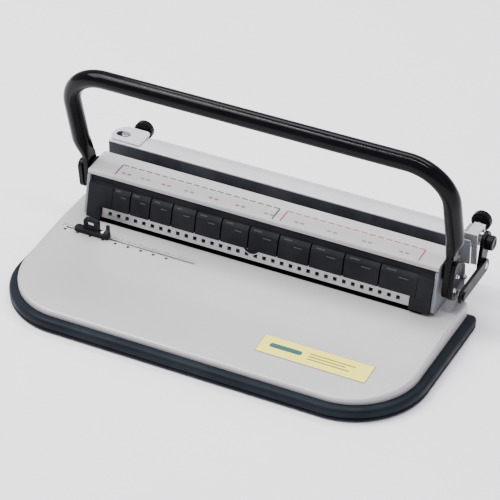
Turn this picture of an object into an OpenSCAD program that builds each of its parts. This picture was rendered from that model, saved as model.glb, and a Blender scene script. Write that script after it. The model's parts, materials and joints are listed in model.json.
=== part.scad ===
// Desktop punch-and-bind machine with a U-shaped pull handle.
// Origin: middle of the footprint on the table.  +X right, +Y to the back, +Z up.

/* [Deck] */
// Width of the deck plate, left to right
deck_w = 376; // [366:1:384]
// Distance from the row of holes forward to the front edge of the deck
deck_front_reach = 130; // [120:1:136]
// Height of the flat rear part of the deck above the table
deck_h = 26; // [25:0.5:30]
// Drop of the deck from its bend to its front edge
deck_drop = 8; // [5:0.5:10]
// Radius of the two front corners of the deck
corner_r = 60; // [30:1:64]
// Overhang of the black bumper outside the deck
bumper_w = 8; // [5:0.5:10]
// Height of the top of the bumper above the table
bumper_top = 13; // [11:0.5:14]

/* [Punch] */
// Number of punched holes
hole_count = 34; // [20:1:34]
// Distance between neighbouring holes, three to the inch
hole_pitch = 8.4667; // [8.4:0.0001:8.5]
// Side of one square punch pin
pin_side = 4; // [3:0.1:4.2]
// Height of the paper throat between deck and pin guide
throat = 3.9; // [3:0.1:4]
// Downward travel of the punch bar
punch_travel = 5; // [4.5:0.1:5]

/* [Body] */
// Width of the punch body over its two side frames
body_w = 339; // [335:1:340]
// Backward lean of the front face, in degrees
face_lean = 14; // [10:1:15]
// Number of graded gauge blocks on the front face
block_count = 11; // [8:1:11]
// Width of the first gauge block
block_first = 18.2; // [16:0.1:18.2]
// Growth in width from each gauge block to the next
block_growth = 1.72; // [1:0.01:1.72]
// Width of the closing slot in the top
slot_w = 14.2; // [12:0.2:14.2]

/* [Handle] */
// Outer diameter of the handle bar
bar_d = 16; // [14:0.5:16]
// Distance between the centres of the two handle legs
leg_gap = 359; // [358:1:361]
// Height of the top bar's centre above the table
handle_h = 177; // [160:1:190]
// Forward lean of the handle legs, in degrees
handle_lean = 14; // [10:1:16]
// Radius of the two upper bends, on the centre line
bend_r = 38; // [30:1:45]
// Turn of the handle from upright to pulled down, in degrees
handle_turn = 70; // [50:1:70]

/* [Closing bar] */
// Forward travel of the closing bar
close_travel = 3; // [1:0.5:3]
// Diameter of the two adjusting knobs
knob_d = 18; // [14:1:20]

/* [Hidden] */
SIDES = ["left", "right"];
$fn = 48;
gap = 0.3;

// Places along Y, counted from the row of holes
hole_y = 20.7;
deck_front = hole_y - deck_front_reach;
deck_back = hole_y + 35;
bend_y = hole_y - 13.5;
pin_y = hole_y + 14.5;
die_y = hole_y - 1.2;
top_front_y = hole_y + 8;
slot_y = hole_y + 39.3;
closing_y = slot_y + slot_w;
closing_d = 20.5;
closing_back = closing_y + closing_d;
rail_y = hole_y - 21.5;
row_x = -3.5;

// Places along Z
foot_h = 2;
floor_t = 2;
deck_t = 1.5;
hole_z = deck_h + 9.3;
strip_z0 = deck_h + 4.6;
strip_z1 = deck_h + 14.3;
lip_z = deck_h + 40.8;
top_z = deck_h + 44.8;
block_z1 = deck_h + 34;
top_rise = 3;
sheet_t = 1.2;

// Layers across each side, counted from the middle
half_w = body_w / 2;
frame_t = 3;
inner_w = half_w - frame_t;
bush_x1 = half_w + 1.5;
leg_x = leg_gap / 2;
flat_x0 = half_w + 2.5;
flat_x1 = flat_x0 + 6;
lever_x0 = flat_x1;
lever_x1 = lever_x0 + 4;
crank_x0 = lever_x1 + 0.6;
crank_x1 = crank_x0 + 3.5;
link_x0 = crank_x1 + 0.5;
link_x1 = link_x0 + 3;
boss_x1 = crank_x1 + 6.5;

// The four pivots of the parallel linkage, as [y, z]
drive_p = [hole_y + 24, deck_h + 36.3];
tail_d = [-8, -19];
tail_p = drive_p + tail_d;
rear_p = drive_p + [50, 0];
crank_p = rear_p + tail_d;
shaft_r = 5.5;
rear_r = 5;
link_pin_r = 3;
run_gap = 0.06;

// Cams: the support distance grows in step with the angle, so the bar moves at a fixed ratio
turn_rad = handle_turn * PI / 180;
cam_h0 = 6.6;
punch_rate = punch_travel / turn_rad;
close_h0 = 5.6;
close_rate = close_travel / turn_rad;
bar_top = drive_p[1] - cam_h0 - 0.1;
bar_h = 9;

// Chip drawer, and what is fastened or spaced at fixed places: [x, y] in the deck, [y, z] in the body
drawer_w = 312;
drawer_y0 = pin_y - 13;
drawer_h = 13;
drawer_z = foot_h + floor_t + gap;
front_t = 3;
screw_places = [[-165, -70], [165, -70], [-172, 45], [172, 45]];
foot_places = [[-150, -85], [150, -85], [-172, 20], [172, 20]];
rod_places = [[hole_y + 31, deck_h + 10], [hole_y + 50, deck_h + 16]];
post_x = 156;
post_r = 2.5;
spring_z0 = deck_h + throat + 4.8;
punch_cam_x = [-120, 0, 120];
close_cam_x = [-100, 100];

// Channel and edge guide
rail_x = [-180, -44];
rail_w = 5.2;
guide_x = -149.5;

// Punched strip, the mark in its middle, and the gauge blocks over it
strip_x0 = row_x - 148.3;
strip_x1 = row_x + 150.2;
strip_hole = 3.6;
mark_h = 4.6;
mark_r = 9.7;
block_x0 = -142;

// Handle legs above the flattened ends
leg_foot = [drive_p[0] - 3.5, deck_h + 51];
leg_run = (handle_h - leg_foot[1]) / cos(handle_lean);
flat_w = 16;
flat_long = drive_p + [-11, -16];
flat_short = drive_p + [-3, -12];
lever_long = [[-6, 5, 6], [5, -3, 7], [7.5, -27, 5], [-10.5, -16, 7]];
lever_short = [[-6, 5, 6], [5, -3, 7], [-3, -12, 7]];
bolts_long = [[-7.6, -1.1], [10, -12.5], [-12.3, -12.2], [-1.2, -21.8]];
bolts_short = [[-7.6, -1.1], [-3, -12]];

// Plate of the closing bar, its two ears and knobs
plate_z = top_z + (closing_y - top_front_y) * tan(top_rise) - 0.6;
ear_z = plate_z + 1.8;
ear_t = 1.5;
ear_back = closing_back + 5;
bar_x1 = 158;
bar_over = 4;
knob_x = [-156, 173];
knob_z = deck_h + 43.6;
stud_run = [3.9, 7.4];
ear_p = [-162.5, ear_back - 13];
ear_r = 13;
clamp_r = 3.8;

// Outlines drawn as [y, z] and pushed along X
module along_x(x0, x1) {
    translate([x0, 0, 0]) rotate([90, 0, 90]) linear_extrude(x1 - x0) children();
}

module rod_x(x0, x1, r, p) {
    translate([x0, p[0], p[1]]) rotate([0, 90, 0]) cylinder(h = x1 - x0, r = r);
}

module on_side(side) {
    if (side == "left") mirror([1, 0, 0]) children();
    else children();
}

module both_sides() {
    for (side = SIDES) on_side(side) children();
}

module box(low, high) {
    translate(low) cube(high - low);
}

// Flat bar with round ends between two points
module stadium(a, b, ra, rb) {
    run = norm(b - a);
    turn = atan2(b[1] - a[1], b[0] - a[0]);
    lean = acos((ra - rb) / run);
    translate(a) circle(ra);
    translate(b) circle(rb);
    up = [cos(lean), sin(lean)];
    down = [cos(lean), -sin(lean)];
    a_in = ra - 0.02;
    b_in = rb - 0.02;
    translate(a) rotate(turn)
        polygon([a_in * up, [run, 0] + b_in * up, [run, 0] + b_in * down, a_in * down]);
}

// Plan of the deck, drawn inset from its edge: large front corners, small back corners
module deck_plan(inset) {
    x = deck_w / 2 - inset;
    y0 = deck_front + inset;
    y1 = deck_back - inset;
    r = corner_r - inset;
    small = max(6 - inset, 1);
    for (s = [-1, 1]) {
        translate([s * (x - r), y0 + r]) circle(r, $fn = 96);
        translate([s * (x - small), y1 - small]) circle(small);
    }
    translate([-x + r, y0]) square([2 * (x - r), r]);
    translate([-x, y0 + r]) square([2 * x, y1 - small - y0 - r]);
    translate([-x + small, y1 - small - 1]) square([2 * (x - small), small + 1]);
}

// Slope of the deck in front of its bend, and its height at y
deck_slope = atan(deck_drop / (bend_y - deck_front));
function deck_top(y) = deck_h - max(bend_y - y, 0) * tan(deck_slope);

// Side view under the deck's top, drawn a given depth below it
module deck_profile(depth, bottom) {
    polygon([
        [deck_front - 1, bottom], [deck_front - 1, deck_top(deck_front - 1) - depth],
        [bend_y, deck_h - depth], [deck_back + 1, deck_h - depth], [deck_back + 1, bottom]
    ]);
}

module deck_block(inset, depth, bottom) {
    intersection() {
        translate([0, 0, bottom]) linear_extrude(deck_h) deck_plan(inset);
        along_x(-deck_w, deck_w) deck_profile(depth, bottom);
    }
}

function hole_x(i) = row_x + (i - (hole_count - 1) / 2) * hole_pitch;

// Front face as a lean: y at height z, set back by a distance
function face_at(z, back) = hole_y + (z - hole_z) * tan(face_lean) + back;

module face_slab(x0, x1, z0, z1, back0, back1) {
    along_x(x0, x1) polygon([
        [face_at(z0, back0), z0], [face_at(z1, back0), z1],
        [face_at(z1, back1), z1], [face_at(z0, back1), z0]
    ]);
}

// Height of the sloping top at y
function roof(y) = top_z + (y - top_front_y) * tan(top_rise);

// ---- Base ----
module base_tray() {
    inset = deck_t + 3;
    color("#1c1f22") difference() {
        translate([0, 0, foot_h]) linear_extrude(bumper_top - foot_h) deck_plan(inset);
        translate([0, 0, foot_h + floor_t]) linear_extrude(bumper_top) deck_plan(inset + 2);
        box([-drawer_w / 2 - 1, drawer_y0, foot_h + floor_t],
            [drawer_w / 2 + 1, deck_back + 1, bumper_top + 1]);
        for (p = screw_places) translate([p[0], p[1], 0]) cylinder(h = 10, r = 2.2);
    }
}

module bumper_profile() {
    // Rounded outside, square inside, counted outward from the deck's inner wall line
    w = bumper_w + deck_t + 2.5;
    h = bumper_top - 1;
    r = 4.5;
    translate([0, 1]) square([w - r, h]);
    translate([0, 1 + r]) square([w, h - 2 * r]);
    translate([w - r, 1 + r]) circle(r);
    translate([w - r, 1 + h - r]) circle(r);
}

module bumper() {
    side_x = deck_w / 2 - deck_t - 2.5;
    corner_x = deck_w / 2 - corner_r;
    corner_y = deck_front + corner_r;
    front_y = deck_front + deck_t + 2.5;
    color("#15181b") {
        both_sides() {
            translate([0, deck_back + 2, 0]) rotate([90, 0, 0]) translate([side_x, 0, 0])
                linear_extrude(deck_back + 2 - corner_y) bumper_profile();
            translate([corner_x, corner_y, 0]) rotate([0, 0, -90]) rotate_extrude(angle = 90, $fn = 96)
                translate([side_x - corner_x, 0]) bumper_profile();
        }
        translate([-corner_x, front_y, 0]) rotate([90, 0, 90]) linear_extrude(2 * corner_x)
            mirror([1, 0]) bumper_profile();
    }
}

module rubber_feet() {
    color("#202326") for (p = foot_places) translate([p[0], p[1], 0]) cylinder(h = foot_h, r = 9);
}

module base_screws() {
    color("silver") for (p = screw_places) translate([p[0], p[1], 0.6]) {
        cylinder(h = foot_h - 0.6, r = 4);
        cylinder(h = 12, r = 2);
    }
}

module deck_plate() {
    color("#b9bbbd") difference() {
        deck_block(0, 0, bumper_top);
        deck_block(deck_t, deck_t, bumper_top - 1);
        box([-159, die_y - 0.5, deck_h - 5], [159, pin_y + 11, deck_h + 1]);
        box([rail_x[0], rail_y - rail_w / 2, deck_h - 5], [rail_x[1], rail_y + rail_w / 2, deck_h + 1]);
        box([-drawer_w / 2 - 1, deck_back - 3, bumper_top - 1],
            [drawer_w / 2 + 1, deck_back + 1, drawer_z + drawer_h + 0.5]);
    }
}

module label_plate() {
    label_y = hole_y - 91.5;
    color("#f2e68c") translate([102, label_y, deck_top(label_y)]) rotate([deck_slope, 0, 0])
        box([-51, -11.5, 0], [51, 11.5, 0.5]);
}

// Sunk channel in which the edge guide slides, with a row of stops
module guide_rail() {
    edge = rail_w / 2 - gap;
    z = deck_top(rail_y - edge) - 0.2;
    color("#9a9c9e") difference() {
        box([rail_x[0] + gap, rail_y - edge, z - 7], [rail_x[1] - gap, rail_y + edge, z]);
        box([rail_x[0] + 4, rail_y - 1.1, z - 5], [rail_x[1] - 4, rail_y + 1.1, z + 1]);
    }
}

module chip_drawer() {
    w = drawer_w / 2;
    z = drawer_z;
    back = deck_back - 0.4;
    pull_w = 60;
    color("#2a2d30") {
        difference() {
            box([-w, drawer_y0 + 1, z], [w, back, z + drawer_h]);
            box([-w + 2, drawer_y0 + 3, z + 1.6], [w - 2, back - front_t, z + drawer_h + 1]);
        }
        box([-pull_w / 2, back, z + 1], [pull_w / 2, back + 5.4, z + 3.5]);
    }
}

// ---- Edge guide ----
module edge_guide() {
    z = deck_h - 0.1;
    color("#141618") {
        box([guide_x - 17, rail_y - 4, z], [guide_x + 17, rail_y + 3.5, z + 4]);
        difference() {
            box([guide_x - 8, rail_y - 1.5, z + 4], [guide_x + 7, rail_y + 2.5, z + 15]);
            box([guide_x - 4.5, rail_y - 3, z + 8], [guide_x + 3.5, rail_y + 4, z + 11]);
        }
        along_x(guide_x + 13.5, guide_x + 16.5)
            polygon([[rail_y - 3, z + 4], [rail_y + 3.5, z + 4], [rail_y + 3.5, z + 10]]);
        box([guide_x - 10, rail_y - 0.9, z - 3.5], [guide_x + 10, rail_y + 0.9, z]);
    }
}

// Small screw that clamps the guide in the channel
module guide_clamp() {
    color("silver") translate([guide_x + 10.5, rail_y, deck_h + 4.2]) cylinder(h = 2, r = 2.2);
}

// ---- Frames and shafts ----
module frame_outline() {
    top0 = face_at(lip_z, 2);
    slot_floor = deck_h + 28;
    foot_z = deck_h + 4.5;
    polygon([
        [face_at(foot_z, 0) + 4, deck_h + 0.05], [face_at(foot_z, 0), foot_z],
        [face_at(lip_z - 1, 0), lip_z - 1], [top0, lip_z - 1],
        [top0, roof(top0) - sheet_t - gap], [slot_y - 1, roof(slot_y) - sheet_t - gap],
        [slot_y, slot_floor], [closing_y + 2.4, slot_floor], [closing_y + 2.6, plate_z - 0.7],
        [closing_back + 7, plate_z - 0.7], [closing_back + 9, deck_h + 40],
        [closing_back + 9, deck_h + 26], [closing_back - 10, deck_h + 14], [deck_back + 2, deck_h + 0.05]
    ]);
}

module side_frame(side) {
    on_side(side) color("#a9acae") difference() {
        along_x(inner_w, half_w) frame_outline();
        rod_x(inner_w - 1, half_w + 1, shaft_r + 2, drive_p);
        rod_x(inner_w - 1, half_w + 1, rear_r + 2, rear_p);
    }
}

module side_frame_left() { side_frame("left"); }

// The right frame also carries a guard plate behind the handle
module side_frame_right() {
    side_frame("right");
    y = closing_y + 1.8;
    color("#a9acae") box([half_w - 0.2, y, deck_h + 22], [flat_x1 - 0.4, y + 1.5, plate_z - 0.7]);
}

// Screws through the frames into the ends of the tie rods
module frame_screws() {
    color("silver") both_sides() for (p = rod_places) {
        rod_x(half_w, half_w + 1.4, 3, p);
    }
}

module tie_rods() {
    color("#8f9294") for (p = rod_places) rod_x(-inner_w, inner_w, 4, p);
}

// Flanged bushes: two for the drive shaft, two for the rear shaft
module shaft_bushes() {
    color("#17191b") both_sides() {
        difference() {
            union() {
                rod_x(inner_w - 1, half_w, shaft_r + 2, drive_p);
                rod_x(half_w, bush_x1, shaft_r + 5.5, drive_p);
            }
            rod_x(inner_w - 2, bush_x1 + 1, shaft_r + run_gap, drive_p);
        }
        difference() {
            rod_x(inner_w - 1, half_w, rear_r + 2, rear_p);
            rod_x(inner_w - 2, bush_x1 + 1, rear_r + run_gap, rear_p);
        }
    }
}

// ---- Front face ----
module front_fascia() {
    side_x = inner_w - gap;
    block_end = block_x(block_count) - 0.4;
    foot = deck_h + 3;
    back = 2.5;
    color("#17191c") {
        face_slab(-side_x, side_x, strip_z0, lip_z - 0.2, back, back + 1.7);
        face_slab(-side_x, strip_x0 - 0.2, foot, block_z1, -2.2, back + 1);
        face_slab(strip_x0 - 1, block_x0 + 0.4, strip_z1 + gap, block_z1, -2.2, back + 1);
        face_slab(strip_x1 + 0.2, side_x, foot, strip_z1, -2.2, back + 1);
        face_slab(block_end, side_x, strip_z1 - 1, block_z1, -2.2, back + 1);
    }
}

// Left edge of gauge block i: the widths grow evenly
function block_x(i) = block_x0 + i * block_first + block_growth * i * (i - 1) / 2;

module gauge_blocks() {
    color("#1b1d20") for (i = [0:block_count - 1])
        face_slab(block_x(i) + 0.7, block_x(i + 1) - 0.7, strip_z1 + 0.3, block_z1, -2.2, 2.5);
}

module ring_strip() {
    color("#c9cbc8") difference() {
        face_slab(strip_x0, strip_x1, strip_z0, strip_z1, 0, 2.5);
        for (i = [0:hole_count - 1])
            translate([hole_x(i), hole_y, hole_z])
                box([-strip_hole / 2, -6, -strip_hole / 2], [strip_hole / 2, 3.8, strip_hole / 2]);
    }
}

// Half-round mark at the middle of the strip's upper edge
module centre_mark() {
    color("#101214") translate([row_x, face_at(strip_z1, 0), strip_z1]) rotate([90 - face_lean, 0, 0])
        difference() {
            translate([0, mark_r - mark_h, 0]) cylinder(h = 1, r = mark_r);
            box([-mark_r, 0, -1], [mark_r, 2 * mark_r, 2]);
        }
}

module top_cover() {
    x = half_w - 0.5;
    y0 = top_front_y;
    color("#bfc1c2") difference() {
        along_x(-x, x) polygon([
            [y0, lip_z], [y0, roof(y0)], [slot_y, roof(slot_y)], [slot_y, deck_h + 32],
            [slot_y - sheet_t, deck_h + 32], [slot_y - sheet_t, roof(slot_y) - sheet_t - 0.05],
            [y0 + sheet_t, roof(y0) - sheet_t], [y0 + sheet_t, lip_z]
        ]);
        both_sides() box([inner_w - 0.5, slot_y - 3, deck_h + 20],
                         [half_w + 1, slot_y + 1, roof(slot_y) - sheet_t - 0.06]);
    }
}

module cover_screws() {
    color("silver") for (x = [-155, 155]) for (z = [deck_h + 19, deck_h + 27])
        translate([x, closing_back + 8.2, z]) rotate([-90, 0, 0]) cylinder(h = 1.4, r = 2.5);
}

// Black trough under the closing slot
module closing_channel() {
    x = inner_w - 0.5;
    z0 = deck_h + 24;
    z1 = deck_h + 30;
    color("#17191b") along_x(-x, x) polygon([
        [slot_y - 3.2, z0], [slot_y - 3.2, z1 + 9], [slot_y - 1.6, z1 + 9], [slot_y - 1.6, z0 + 2],
        [closing_y + 1, z0 + 2], [closing_y + 1, z0]
    ]);
}

module rear_cover() {
    x = inner_w - 0.5;
    y = closing_back + 7;
    notch_x = 141;
    color("#a9acae") {
        difference() {
            box([-x, y, deck_h + 15], [x, y + 1.2, deck_h + 42]);
            both_sides() box([notch_x, y - 1, deck_h + 31], [x + 1, y + 2, deck_h + 43]);
        }
        box([-x, closing_back - 9, deck_h + 15], [x, closing_back + 7, deck_h + 16.2]);
    }
}

// ---- Punch ----
module pin_set(z0, z1, side) {
    for (i = [0:hole_count - 1])
        box([hole_x(i) - side / 2, pin_y - side / 2, z0], [hole_x(i) + side / 2, pin_y + side / 2, z1]);
}

module die_plate() {
    color("#7d8082") difference() {
        box([-158.5, die_y, deck_h - 5], [158.5, pin_y + 10.5, deck_h]);
        pin_set(deck_h - 6, deck_h + 1, pin_side + 0.2);
    }
}

module pin_guide() {
    z0 = deck_h + throat;
    color("#303336") difference() {
        box([-inner_w + gap, pin_y - 10, z0], [inner_w - gap, pin_y + 11, z0 + 4]);
        pin_set(z0 - 1, z0 + 5, pin_side + 0.2);
        for (s = [-1, 1]) translate([s * post_x, pin_y, z0 - 1]) cylinder(h = 6, r = post_r);
    }
}

// Bar behind the throat that the paper's edge meets
module paper_stop() {
    color("#6f7274") box([-155, pin_y + 5, deck_h + 0.1], [155, pin_y + 8, deck_h + throat - 0.1]);
}

module guide_posts() {
    z0 = deck_h + throat;
    color("silver") for (s = [-1, 1]) translate([s * post_x, pin_y, z0]) cylinder(h = 27, r = post_r);
}

module spring_coil(wire, radius, height, turns) {
    steps = turns * 10;
    sides = 6;
    function ring(k) = [radius * cos(k * 36), radius * sin(k * 36), height * k / steps];
    points = [for (k = [0:steps]) for (j = [0:sides - 1])
        ring(k) + wire * [cos(j * 60) * cos(k * 36), cos(j * 60) * sin(k * 36), sin(j * 60)]];
    faces = concat(
        [[for (j = [0:sides - 1]) j]],
        [[for (j = [sides - 1:-1:0]) steps * sides + j]],
        [for (k = [0:steps - 1]) for (j = [0:sides - 1])
            let (low = k * sides, high = low + sides, n = (j + 1) % sides)
            [low + j, high + j, high + n, low + n]]
    );
    polyhedron(points, faces);
}

module return_springs() {
    color("silver") for (s = [-1, 1]) translate([s * post_x, pin_y, spring_z0])
        spring_coil(0.6, 4, bar_top - bar_h - spring_z0 - 0.8, 4);
}

module punch_bar() {
    color("#8b8e90") difference() {
        box([-161, pin_y - 4, bar_top - bar_h], [161, pin_y + 8, bar_top]);
        for (s = [-1, 1]) translate([s * post_x, pin_y, bar_top - bar_h - 1])
            cylinder(h = bar_h + 2, r = post_r + run_gap);
    }
}

module punch_pins() {
    color("#cfd1d2") pin_set(deck_h + throat + 0.3, bar_top - bar_h, pin_side);
}

// ---- Handle ----
module handle_bar() {
    r = bar_d / 2;
    color("#0b0d10") translate([0, leg_foot[0], leg_foot[1]]) rotate([handle_lean, 0, 0]) {
        both_sides() {
            translate([leg_x, 0, 0]) cylinder(h = leg_run - bend_r, r = r);
            translate([leg_x - bend_r, 0, leg_run - bend_r]) rotate([90, 0, 0])
                rotate_extrude(angle = 90) translate([bend_r, 0]) circle(r);
        }
        translate([-leg_x + bend_r, 0, leg_run]) rotate([0, 90, 0])
            cylinder(h = 2 * (leg_x - bend_r), r = r);
    }
}

// Flattened lower ends of the bar, clamped between each lever and the shaft
module handle_end(side, tip) {
    on_side(side) difference() {
        along_x(flat_x0, flat_x1) hull() {
            translate(leg_foot - [0, 0.5]) circle(7.4, $fn = 32);
            translate(drive_p) circle(flat_w / 2, $fn = 32);
            translate(tip) circle(6, $fn = 32);
        }
        translate([leg_x, leg_foot[0], leg_foot[1]]) rotate([handle_lean, 0, 0])
            cylinder(h = 30, r = bar_d);
        rod_x(flat_x0 - 1, flat_x1 + 1, shaft_r, drive_p);
    }
}

module handle_ends() {
    color("#0b0d10") {
        handle_end("left", flat_short);
        handle_end("right", flat_long);
    }
}

module handle_lever(side) {
    on_side(side) color("#131518") difference() {
        along_x(lever_x0, lever_x1) hull() {
            for (d = side == "right" ? lever_long : lever_short)
                translate(drive_p + [d[0], d[1]]) circle(d[2], $fn = 32);
        }
        rod_x(lever_x0 - 1, lever_x1 + 1, shaft_r, drive_p);
        if (side == "right") rod_x(lever_x0 - 1, lever_x1 + 1, link_pin_r + run_gap, tail_p);
    }
}

module handle_lever_left() { handle_lever("left"); }
module handle_lever_right() { handle_lever("right"); }

// Bolts that clamp each lever to the flattened bar
module lever_bolts() {
    color("silver") {
        on_side("left") for (p = bolts_short) rod_x(lever_x1, lever_x1 + 2.2, 2.4, drive_p + p);
        on_side("right") for (p = bolts_long) rod_x(lever_x1, lever_x1 + 2.2, 2.4, drive_p + p);
    }
}

module drive_shaft() {
    color("#9fa2a4") rod_x(-lever_x1, lever_x1, shaft_r, drive_p);
}

// Cam whose flat follower moves in step with the turn; angles run from the first contact
function cam_edge(h0, rate, a) = (h0 + rate * a * PI / 180) * [cos(a), sin(a)] + rate * [-sin(a), cos(a)];

module cam_plate(h0, rate) {
    polygon(concat([[0, 0]], [for (a = [0:5:handle_turn]) cam_edge(h0, rate, a)]));
}

module drive_cams() {
    color("#85888a") for (x = punch_cam_x) difference() {
        along_x(x - 5, x + 5) translate(drive_p) {
            circle(cam_h0 - 0.1);
            rotate(-90) mirror([0, 1]) cam_plate(cam_h0, punch_rate);
        }
        rod_x(x - 6, x + 6, shaft_r, drive_p);
    }
}

// ---- Parallel linkage ----
module coupler_link() {
    color("#101215") difference() {
        union() {
            along_x(link_x0, link_x1) stadium(tail_p, crank_p, 6.5, 6.5);
            rod_x(link_x1, link_x1 + 1.5, 4.2, tail_p);
            rod_x(lever_x1 + 0.3, link_x0, 4.2, tail_p);
            rod_x(lever_x0 + 0.3, link_x0, link_pin_r, tail_p);
        }
        rod_x(link_x0 - 1, link_x1 + 1, link_pin_r + 0.1, crank_p);
    }
}

module crank_arm() {
    color("#101215") difference() {
        union() {
            along_x(crank_x0, crank_x1) stadium(rear_p, crank_p, 9.5, 6.5);
            rod_x(crank_x1, boss_x1, 6.7, rear_p);
            rod_x(crank_x1, link_x1 + 0.2, link_pin_r, crank_p);
        }
        rod_x(crank_x0 - 1, boss_x1 - 1.5, rear_r, rear_p);
    }
}

module rear_shaft() {
    color("#9fa2a4") rod_x(-bush_x1, boss_x1 - 1.5, rear_r, rear_p);
}

module closing_cams() {
    color("#85888a") for (x = close_cam_x) difference() {
        along_x(x - 4, x + 4) translate(rear_p) {
            circle(close_h0 - 0.1);
            rotate(180) mirror([0, 1]) cam_plate(close_h0, close_rate);
        }
        rod_x(x - 5, x + 5, rear_r, rear_p);
    }
}

// ---- Closing bar ----
// Folded plate; its right end stops behind the handle and its left end is cut away at the rear
module closing_bar() {
    x0 = -half_w - bar_over;
    color("#bfc1c2") difference() {
        along_x(x0, bar_x1) polygon([
            [closing_y, plate_z], [closing_y, plate_z + 1.5],
            [closing_back, ear_z - 0.1], [closing_back, plate_z]
        ]);
        translate([x0, closing_y, plate_z - 1]) linear_extrude(5)
            polygon([[-1, 8], [9, closing_d + 1], [-1, closing_d + 1]]);
    }
}

// Dark jaw under the bar's front edge, which pushes the rings shut
module closing_jaw() {
    color("#1a1c1e")
        box([-half_w - bar_over, closing_y, deck_h + 32], [inner_w - 1, closing_y + 2, plate_z]);
}

module closing_lugs() {
    y1 = rear_p[0] - close_h0 - 0.1;
    color("#8b8e90") for (x = close_cam_x) box([x - 9, y1 - 4, drive_p[1]], [x + 9, y1, plate_z]);
}

// Round plate with a slot on the left end of the closing bar, and a flange that carries the knob
module closing_ear_left() {
    x1 = -148;
    round_r = 5;
    front = closing_y + 2;
    color("#b4b6b7") {
        translate([0, 0, ear_z]) linear_extrude(ear_t) difference() {
            union() {
                translate(ear_p) circle(ear_r);
                translate([x1, ear_back - round_r]) circle(round_r);
                translate([ear_p[0], ear_back - ear_r]) square([x1 + round_r - ear_p[0], ear_r - round_r]);
                translate([ear_p[0], ear_back - round_r - 1]) square([x1 - ear_p[0], round_r + 1]);
            }
            translate([ear_p[0] - 2 * ear_r, front - ear_r]) square([4 * ear_r, ear_r]);
            translate(ear_p) circle(clamp_r + 0.4);
            translate(ear_p - [5, 0]) circle(clamp_r + 0.4);
            translate(ear_p - [5, clamp_r + 0.4]) square([5, 2 * clamp_r + 0.8]);
        }
        box([ear_p[0], ear_back - 2, knob_z - 0.5], [x1, ear_back, ear_z]);
    }
}

// Clamp screw in the slot of the left plate
module ear_screw() {
    color("#8e9193") translate([ear_p[0], ear_p[1], ear_z]) cylinder(h = ear_t + 0.9, r = clamp_r);
}

// Bent plate past the right end of the bar: shelf, upright with a hanging tongue, and knob flange
module closing_ear_right() {
    x0 = half_w + 1;
    x1 = lever_x1 - 0.1;
    y = closing_back - 13.4;
    color("#b4b6b7") {
        box([bar_x1 - 18, y, plate_z - 1.5], [inner_w - 1.5, y + 9, plate_z - 0.02]);
        box([bar_x1 + 0.2, y, plate_z - 0.5], [x1, y + ear_t, ear_z + ear_t]);
        box([x0, y, plate_z - 6], [x1, y + ear_t, ear_z]);
        box([x1 - 5.4, y, deck_h + 19], [x1, y + ear_t, ear_z]);
        box([x0 + 1, y, ear_z], [x1, ear_back, ear_z + ear_t]);
        box([x0 + 1, ear_back - 3, knob_z - 0.5], [x1 - 0.5, ear_back, ear_z + 0.5]);
    }
}

module knob(x, run) {
    disc_h = 7;
    cap_h = 3.2;
    color("#0d0f12") translate([x, ear_back, knob_z]) rotate([-90, 0, 0]) {
        translate([0, 0, 0.1]) cylinder(h = run, r = 1.8);
        translate([0, 0, run]) cylinder(h = disc_h, r = knob_d / 2);
        translate([0, 0, run + disc_h]) cylinder(h = cap_h, r1 = knob_d / 2, r2 = knob_d / 2 - 2.5);
    }
}

module knob_left() { knob(knob_x[0], stud_run[0]); }
module knob_right() { knob(knob_x[1], stud_run[1]); }

base_tray();
bumper();
rubber_feet();
base_screws();
deck_plate();
label_plate();
guide_rail();
chip_drawer();
edge_guide();
guide_clamp();
side_frame_left();
side_frame_right();
frame_screws();
shaft_bushes();
front_fascia();
gauge_blocks();
ring_strip();
centre_mark();
top_cover();
cover_screws();
closing_channel();
rear_cover();
tie_rods();
die_plate();
pin_guide();
paper_stop();
guide_posts();
return_springs();
punch_bar();
punch_pins();
handle_bar();
handle_ends();
handle_lever_left();
handle_lever_right();
lever_bolts();
drive_shaft();
drive_cams();
coupler_link();
crank_arm();
rear_shaft();
closing_cams();
closing_bar();
closing_jaw();
closing_lugs();
closing_ear_left();
ear_screw();
closing_ear_right();
knob_left();
knob_right();
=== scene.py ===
import json
import math

import bmesh
import bpy
from mathutils import Matrix, Vector

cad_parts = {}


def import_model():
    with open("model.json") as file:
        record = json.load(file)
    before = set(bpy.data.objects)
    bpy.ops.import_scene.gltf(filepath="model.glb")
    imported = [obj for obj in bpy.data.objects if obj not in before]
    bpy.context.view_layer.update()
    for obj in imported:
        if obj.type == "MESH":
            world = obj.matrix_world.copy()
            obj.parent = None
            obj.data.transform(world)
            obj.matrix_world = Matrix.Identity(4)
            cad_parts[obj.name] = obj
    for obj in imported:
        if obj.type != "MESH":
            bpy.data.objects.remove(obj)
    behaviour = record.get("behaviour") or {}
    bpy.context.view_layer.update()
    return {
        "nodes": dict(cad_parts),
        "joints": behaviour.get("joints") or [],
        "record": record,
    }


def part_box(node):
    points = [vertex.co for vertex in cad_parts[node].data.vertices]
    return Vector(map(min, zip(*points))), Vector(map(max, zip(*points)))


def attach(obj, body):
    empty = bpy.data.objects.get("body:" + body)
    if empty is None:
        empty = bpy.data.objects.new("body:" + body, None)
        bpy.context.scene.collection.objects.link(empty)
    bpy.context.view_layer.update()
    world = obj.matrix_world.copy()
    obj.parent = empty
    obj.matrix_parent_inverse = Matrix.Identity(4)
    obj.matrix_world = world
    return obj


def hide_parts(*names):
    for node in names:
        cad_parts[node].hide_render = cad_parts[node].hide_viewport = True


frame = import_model()

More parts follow.
